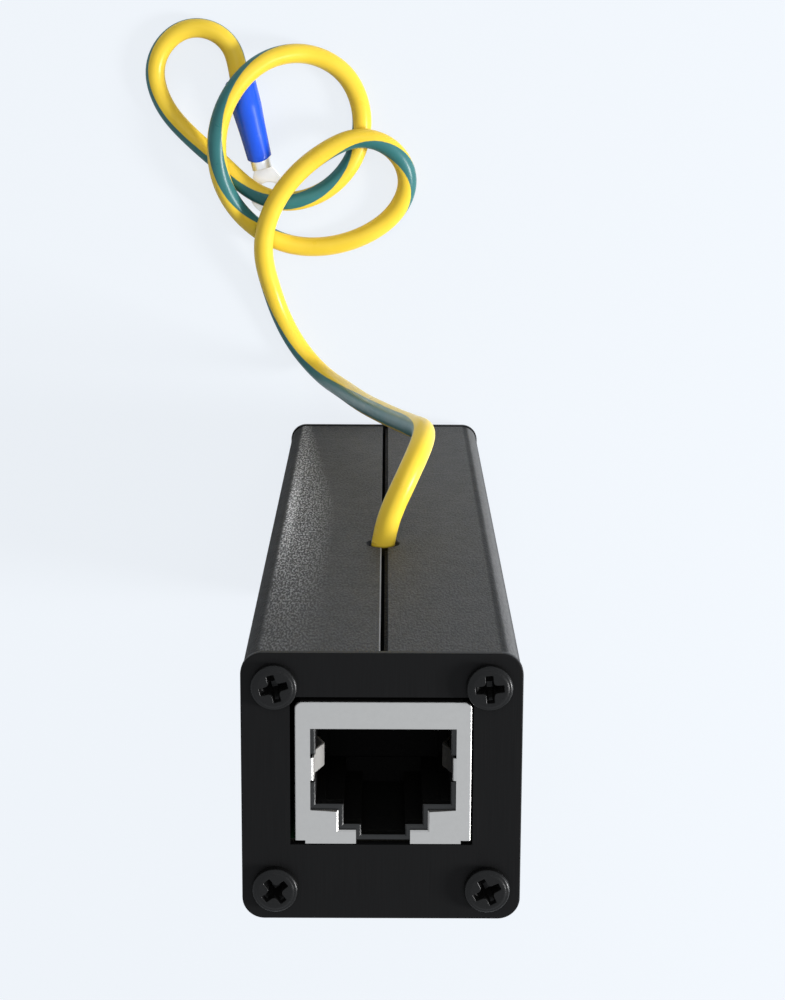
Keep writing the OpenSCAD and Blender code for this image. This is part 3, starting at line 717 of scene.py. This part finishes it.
def foldedEdges(shape, node):
    # Edges where a shield's front is folded over to its sides and its top
    low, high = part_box(node)
    front = frontOf(node)
    near, facing = easing["foldNear"], easing["foldFacing"]
    folds = []
    for edge in shape.edges:
        middle = (edge.verts[0].co + edge.verts[1].co) / 2
        if abs(middle.z - front) > easing["onPlane"]:
            continue
        if edge.calc_face_angle(0) < math.radians(easing["foldFrom"]):
            continue
        wall = min(edge.link_faces, key=lambda face: abs(face.normal.z)).normal
        atLeft = middle.x - low.x < near and wall.x < -facing
        atRight = high.x - middle.x < near and wall.x > facing
        atTop = high.y - middle.y < near and wall.y > facing
        if (atLeft or atRight or atTop) and wall.y > -facing:
            folds.append(edge)
    return folds


def easedPiece(node, name, width, foldWidth):
    shape = bmesh.new()
    shape.from_mesh(nodes[node].data)
    flatWithin = math.radians(easing["flatWithin"])
    bmesh.ops.remove_doubles(shape, verts=shape.verts, dist=easing["merged"])
    bmesh.ops.dissolve_limit(shape, angle_limit=flatWithin, verts=shape.verts, edges=shape.edges)
    if foldWidth:
        easeEdges(shape, foldedEdges(shape, node), foldWidth, easing["foldFacets"])
    kind = "socket" if "jack" in node else "other"
    easeEdges(shape, sharpEdges(shape, node), width, easing["facets"][kind])
    mesh = bpy.data.meshes.new(name)
    shape.to_mesh(mesh)
    shape.free()
    mesh.attributes.remove(mesh.attributes["custom_normal"])
    shadeSmooth(mesh, easing["creases"][kind])
    piece = newPiece(name, mesh, slotOf[node], [node])
    flatten = piece.modifiers.new("faceNormals", "WEIGHTED_NORMAL")
    flatten.weight = 100
    flatten.keep_sharp = True
    return piece


eased = {node: easedPiece(node, *sizes) for node, sizes in easedEdges.items()}
print("case, plates, sockets and ring terminal:", len(eased), "pieces")

# Pan-head screws with a cross recess and a rolled thread, in millimetres
screw = {
    "headRadius": 2.05,
    "headHeight": 1.0,
    "rimRadius": 0.3,
    "rimDrop": 0.12,
    "flatRadius": 1.45,
    "shankRadius": 1.12,
    "threadDepth": 0.2,
    "threadPitch": 0.8,
    "threadStart": 0.5,  # how far below the head it is full
    "threadStep": 0.1,
    "length": 8.0,
    "tipLength": 0.8,
    "tipBlunt": 0.35,  # how much of the tip's cone is missing
    "armWidth": 0.74,
    "armSpan": 2.6,
    "centreRadius": 0.62,
    "blend": 0.18,  # between the arms and the round middle
    "depth": 1.7,
    "armFloor": (0.35, 0.75, 0.55),  # depth at an arm's end, and how it grows inwards
    "wall": 0.18,  # how far the recess's walls slope
    "turns": {"front": (16, 4, 38, 27), "rear": (27, 38, 4, 16)},  # degrees, screws 1 to 4
    "sides": 144,
    "firstRing": 0.03,
    "recessRings": (0.08, 1.4, 34),  # from, to, how many
    "topRings": 5,
    "rimRings": 7,
    "rimFrom": 0.2,  # radians
    "creases": 60,  # degrees
}


def headHeightAt(radius):
    flat, edge, rim = screw["flatRadius"], screw["headRadius"], screw["rimRadius"]
    shoulder = screw["headHeight"] - screw["rimDrop"]
    if radius <= flat:
        return screw["headHeight"]
    if radius <= edge - rim:
        share = (radius - flat) / (edge - rim - flat)
        return screw["headHeight"] - screw["rimDrop"] * share * share
    return shoulder - rim + math.sqrt(max(rim * rim - (radius - edge + rim) ** 2, 0))


def recessDepthAt(radius, angle):
    # Depth of the cross recess: four tapering arms blended into a round middle
    u = abs(radius * math.cos(angle))
    v = abs(radius * math.sin(angle))
    along, across = max(u, v), min(u, v)
    arm = max(across - screw["armWidth"] / 2, along - screw["armSpan"] / 2)
    middle = radius - screw["centreRadius"]
    blend = max(screw["blend"] - abs(arm - middle), 0) / screw["blend"]
    inside = -(min(arm, middle) - blend * blend * screw["blend"] / 4)
    share = min(max(inside / screw["wall"], 0), 1)
    inward = screw["armSpan"] / 2 - along
    atEnd, slope, curve = screw["armFloor"]
    bottom = min(screw["depth"], atEnd + slope * inward + curve * inward * abs(inward))
    return bottom * share * share * (3 - 2 * share)


def headRadii():
    rim = screw["headRadius"] - screw["rimRadius"]
    turns = np.linspace(screw["rimFrom"], math.pi / 2, screw["rimRings"])
    return [
        screw["firstRing"],
        *np.linspace(*screw["recessRings"]),
        *np.linspace(screw["flatRadius"], rim, screw["topRings"]),
        *[rim + screw["rimRadius"] * math.sin(turn) for turn in turns],
    ]


def shankRadiusAt(z, angle):
    taper = min(1, (screw["length"] + z + screw["tipBlunt"]) / screw["tipLength"])
    ramp = abs(((z / screw["threadPitch"] + angle / (2 * math.pi)) % 1) - 0.5) * 2
    cut = screw["threadDepth"] * min(1, -z / screw["threadStart"]) * ramp
    return (screw["shankRadius"] - cut) * taper


def screwMesh(name, turn, place, facingUp):
    # Rings from the middle of the head outwards, round its rim to its underside and down the shank
    sides, step = screw["sides"], screw["threadStep"]
    angles = [2 * math.pi * k / sides for k in range(sides)]
    rings = [[(r, headHeightAt(r) - recessDepthAt(r, a - math.radians(turn))) for a in angles]
             for r in headRadii()]
    rings.append([(screw["headRadius"], 0)] * sides)
    rings += [[(shankRadiusAt(z, a), z) for a in angles]
              for z in np.arange(0, -screw["length"] - step / 10, -step)]
    spin = Matrix.Identity(4) if facingUp else Matrix.Rotation(math.pi, 4, "Y")
    toPlace = Matrix.Translation(place) @ spin
    verts = [toPlace @ (Vector((r * math.cos(a), r * math.sin(a), z)) * mm)
             for ring in rings for a, (r, z) in zip(angles, ring)]
    faces = [tuple(reversed(face)) for face in ringFaces(len(rings), sides)]
    return meshFrom(name, verts, faces, screw["creases"])


for end, turns in screw["turns"].items():
    facingUp = end == "front"
    for i, turn in enumerate(turns, 1):
        node = f"{end}_screw_{i}"
        low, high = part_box(node)
        seat = high.z - screw["headHeight"] * mm if facingUp else low.z + screw["headHeight"] * mm
        place = ((low.x + high.x) / 2, (low.y + high.y) / 2, seat)
        name = f"{end}Screw{i}"
        newPiece(name, screwMesh(name, turn, place, facingUp), "black_screw", [node])
print("screws")

# Earth lead, in millimetres
lead = {
    "diameter": 2.5,
    "sides": 32,
    "step": 0.5,
    "curvePoints": 40,  # between two points of its route, before they are evened
    "smoothing": 16,
    "stripeSmoothing": 40,
    "terminalTurn": -76,  # degrees
    "intoSleeve": 4.4,
    "root": [(0, -4.95, 63), (0, -3, 63), (-0.3, 3, 63), (-0.45, 8, 63)],  # from the board to the case's face
    "rootStep": 0.25,
    "rootSmoothing": 10,
    "rootGap": 0.1,  # least space between its last two rings
    "creases": 40,  # degrees
}
# The same points as in the part's source, from the face of the case to the sleeve's mouth
leadRoute = [
    (0, 12.4, 63), (0.5, 15, 63), (2, 18.5, 63), (3.5, 21.4, 61.2), (4.4, 23, 57), (3.2, 22.3, 49.5),
    (1.5, 21.4, 41.5), (-0.2, 20.6, 33.5), (-2.7, 19.4, 21), (-5.5, 19.1, 10), (-7.9, 19.6, 4.2),
    (-9.7, 20.9, 2), (-11.2, 22.6, 1.3), (-12.6, 24.8, 1.3), (-14, 27.8, 1.4), (-15, 31, 2.1),
    (-16, 36, 4), (-15.3, 40.5, 4.9), (-12.8, 45, 5), (-8.7, 48.8, 4.5), (-3.4, 51.2, 4.1),
    (1, 49.7, 3.4), (3.1, 45.5, 2.2), (1.4, 41.1, 1.3), (-2.8, 38, 1.3), (-8.5, 36.5, 1.3),
    (-14, 37.2, 1.3), (-19, 41, 2.6), (-21.5, 46, 4.4), (-21.7, 52, 5.2), (-19.5, 57.3, 5.5),
    (-15.5, 61, 4.5), (-10, 61.8, 2.2), (-5.2, 59.2, 1.3), (-3, 54, 1.3), (-4, 48.3, 1.3),
    (-7.8, 44, 1.6), (-13, 42.5, 2.3), (-17.5, 44, 2.4),
    (-21.5, 47.5, 1.5), (-25, 50.5, 1.3), (-28.7, 54.6, 1.3), (-30.2, 59.2, 1.3), (-29.2, 62.4, 1.3),
    (-26.5, 64.8, 1.3), (-23.1, 65, 1.4), (-20, 62.8, 1.7), (-19, 58.5, 2),
]
# Which way the stripe faces along the drop from the case, and then how far it has turned to the left of the
# side that faces the camera at each further point, in degrees
dropStripe = [(-0.77, 0, -0.64)] * 4 + [(-0.8, -0.3, -0.5)] + [(-0.95, 0.26, 0.15)] * 4
floorStripe = [
    42, 55, 65, 78, 82, 95, 118, 145, 160, 190, 235, 280, 345, 420, 500, 540, 560, 600, 665, 705, 745,
    785, 825, 870, 905, 950, 1015, 1050, 1090, 1130, 1150, 1155, 1165, 1175, 1185, 1200, 1200, 1200, 1200,
]


def evenRows(rows, step):
    lengths = np.linalg.norm(np.diff(rows, axis=0), axis=1)
    along = np.concatenate([[0], np.cumsum(lengths)])
    spots = np.linspace(0, along[-1], round(along[-1] / step) + 1)
    return np.column_stack([np.interp(spots, along, rows[:, k]) for k in range(3)])


def smoothed(values, passes):
    # All but the two ends drawn halfway to the mean of their neighbours, a number of times
    for _ in range(passes):
        values[1:-1] = (values[:-2] + 2 * values[1:-1] + values[2:]) / 4
    return values


def squareTo(direction, vector):
    # The part of a vector at right angles to a direction, made one long
    rest = vector - direction * (vector @ direction)
    return rest / np.linalg.norm(rest)


def between(p, q, low, high, t):
    return ((high - t) * p + (t - low) * q) / (high - low)


def smoothRoute(points, step, passes):
    # Centripetal curve through the points, then evened and eased
    rows = np.array(points, float)
    ends = np.vstack([2 * rows[0] - rows[1], rows, 2 * rows[-1] - rows[-2]])
    dense = []
    for i in range(1, len(ends) - 2):
        a, b, c, d = ends[i - 1:i + 3]
        k = np.cumsum([0] + [math.sqrt(np.linalg.norm(q - p)) for p, q in ((a, b), (b, c), (c, d))])
        for t in np.linspace(k[1], k[2], lead["curvePoints"], endpoint=False):
            ab = between(a, b, k[0], k[1], t)
            bc = between(b, c, k[1], k[2], t)
            cd = between(c, d, k[2], k[3], t)
            near, far = between(ab, bc, k[0], k[2], t), between(bc, cd, k[1], k[3], t)
            dense.append(between(near, far, k[1], k[2], t))
    dense.append(rows[-1])
    return evenRows(smoothed(evenRows(np.array(dense), step), passes), step)


def turningFrames(path, firstSide):
    # Frames that turn along the path only as far as it bends
    ahead = np.gradient(path, axis=0)
    ahead /= np.linalg.norm(ahead, axis=1)[:, None]
    sides = []
    side = np.array(firstSide, float)
    for direction in ahead:
        side = squareTo(direction, side)
        sides.append(side)
    return ahead, np.array(sides), np.cross(ahead, sides)


def stripeAlong(path, ahead, sides, others):
    # Angle of the stripe's middle in each frame, eased between the route's points
    eye = np.array(cameraSetup["place"]) / mm
    rows, angles = [], []
    for i, point in enumerate(leadRoute):
        row = int(np.argmin(np.linalg.norm(path - np.array(point), axis=1)))
        if i < len(dropStripe):
            towards = np.array(dropStripe[i])
        else:
            up = squareTo(ahead[row], eye - path[row])
            turn = math.radians(floorStripe[i - len(dropStripe)])
            towards = math.cos(turn) * up + math.sin(turn) * np.cross(up, ahead[row])
        rows.append(row)
        angles.append(math.atan2(towards @ others[row], towards @ sides[row]))
    angles = np.interp(np.arange(len(path)), rows, np.unwrap(angles))
    return smoothed(angles, lead["stripeSmoothing"])


def leadMesh(name, path, sides, others, stripe):
    count = lead["sides"]
    radius = lead["diameter"] / 2
    verts, shade = [], []
    for point, side, other, middle in zip(path, sides, others, stripe):
        for k in range(count):
            a = 2 * math.pi * k / count
            verts.append((point + radius * (math.cos(a) * side + math.sin(a) * other)) * mm)
            shade.append(math.cos(a - middle))
    mesh = meshFrom(name, verts, ringFaces(len(path), count), lead["creases"])
    mesh.attributes.new("stripe", "FLOAT", "POINT").data.foreach_set("value", shade)
    return mesh


terminalAngle = math.radians(lead["terminalTurn"])
terminalAhead = np.array([math.cos(terminalAngle), math.sin(terminalAngle), 0])
sleeveMouth = np.array(leadRoute[-1], float)
tailSteps = np.arange(lead["step"], lead["intoSleeve"], lead["step"])
leadTail = [sleeveMouth + terminalAhead * s for s in tailSteps]
leadPath = np.vstack([smoothRoute(leadRoute, lead["step"], lead["smoothing"]), leadTail])
leadPath = evenRows(leadPath, lead["step"])
leadAhead, leadSides, leadOthers = turningFrames(leadPath, (1, 0, 0))
leadStripe = stripeAlong(leadPath, leadAhead, leadSides, leadOthers)
groundLead = newPiece("groundLead", leadMesh("groundLead", leadPath, leadSides, leadOthers, leadStripe),
                      "lead_insulation", ["ground_wire"])
# Its first stretch, inside the case, bends to meet the rest and is framed from there backwards
rootPath = smoothRoute(lead["root"] + leadRoute[:2], lead["rootStep"], lead["rootSmoothing"])
rootPath = np.vstack([[p for p in rootPath if p[1] < leadPath[0][1] - lead["rootGap"]], leadPath[:1]])
_, rootSides, rootOthers = turningFrames(rootPath[::-1], leadSides[0])
rootStripe = [leadStripe[0]] * len(rootPath)
newPiece("leadRoot", leadMesh("leadRoot", rootPath, rootSides[::-1], -rootOthers[::-1], rootStripe),
         "lead_insulation")

# Sleeve of the terminal, in millimetres: a vinyl tube with a rounded mouth that narrows and flattens to its
# crimped end
sleeve = {
    "length": 11.0,
    "mouthRadius": 2.0,
    "tipRadius": 1.6,
    "straight": 3.6,
    "narrowsEarly": 0.15,
    "mouthRound": 0.55,
    "mouthTuck": 0.55,  # share of a full round at the mouth's edge
    "tipFlat": 0.12,  # share of its height that the crimped end loses
    "endBow": 0.45,
    "bowOver": 3.0,  # of its length at the crimped end
    "outside": {"short": 0.12, "rings": 44},
    "endRings": [(0, 0.08), (0, 0.24), (0.1, 0.28)],  # how far before the end and inside the outside
    "bore": {"radius": 1.34, "short": 1.2, "rings": 12},
    "mouthBore": {"radius": 1.32, "deep": 0.9, "rings": 10},
    "sides": 64,
    "creases": 50,  # degrees
}


def sleeveRadii(s):
    # Half width and half height at a distance from the mouth
    full, tip, edge = sleeve["mouthRadius"], sleeve["tipRadius"], sleeve["mouthRound"]
    share = min(max((s - sleeve["straight"]) / (sleeve["length"] - sleeve["straight"]), 0), 1)
    radius = full + (tip - full) * (share + sleeve["narrowsEarly"] * math.sin(math.pi * share))
    if s < edge:
        radius -= sleeve["mouthTuck"] * (edge - math.sqrt(edge ** 2 - (edge - s) ** 2))
    return radius, radius * (1 - sleeve["tipFlat"] * share * share)


def sleeveRing(s, inset, bow):
    width, height = sleeveRadii(s)
    ring = []
    for k in range(sleeve["sides"]):
        a = 2 * math.pi * k / sleeve["sides"]
        across, up = (width - inset) * math.cos(a), (height - inset) * math.sin(a)
        ring.append((s - bow * math.cos(a) ** 2, across, up))
    return ring


def boreRings(start, end, bore):
    spots = np.linspace(start, end, bore["rings"])
    return [sleeveRing(s, sleeveRadii(s)[0] - bore["radius"], 0) for s in spots]


def bowAt(s):
    return sleeve["endBow"] * max(0, 1 - (sleeve["length"] - s) / sleeve["bowOver"]) ** 2


def sleeveMesh(name):
    # Out through the mouth, along the outside, round the crimped end and back through the bore
    length, outside, bore = sleeve["length"], sleeve["outside"], sleeve["bore"]
    rings = boreRings(sleeve["mouthBore"]["deep"], 0, sleeve["mouthBore"])
    rings += [sleeveRing(s, 0, bowAt(s)) for s in np.linspace(0, length - outside["short"], outside["rings"])]
    rings += [sleeveRing(length - before, inset, sleeve["endBow"]) for before, inset in sleeve["endRings"]]
    rings += boreRings(length - bore["short"], bore["short"], bore)
    local = np.array([point for ring in rings for point in ring])
    across = np.array([-terminalAhead[1], terminalAhead[0], 0])
    verts = (sleeveMouth + local[:, :1] * terminalAhead + local[:, 1:2] * across
             + local[:, 2:] * np.array([0, 0, 1])) * mm
    return meshFrom(name, verts, ringFaces(len(rings), sleeve["sides"], True), sleeve["creases"])


terminalSleeve = newPiece("terminalSleeve", sleeveMesh("terminalSleeve"), "blue_sleeve", ["terminal_sleeve"])
print("sleeve")
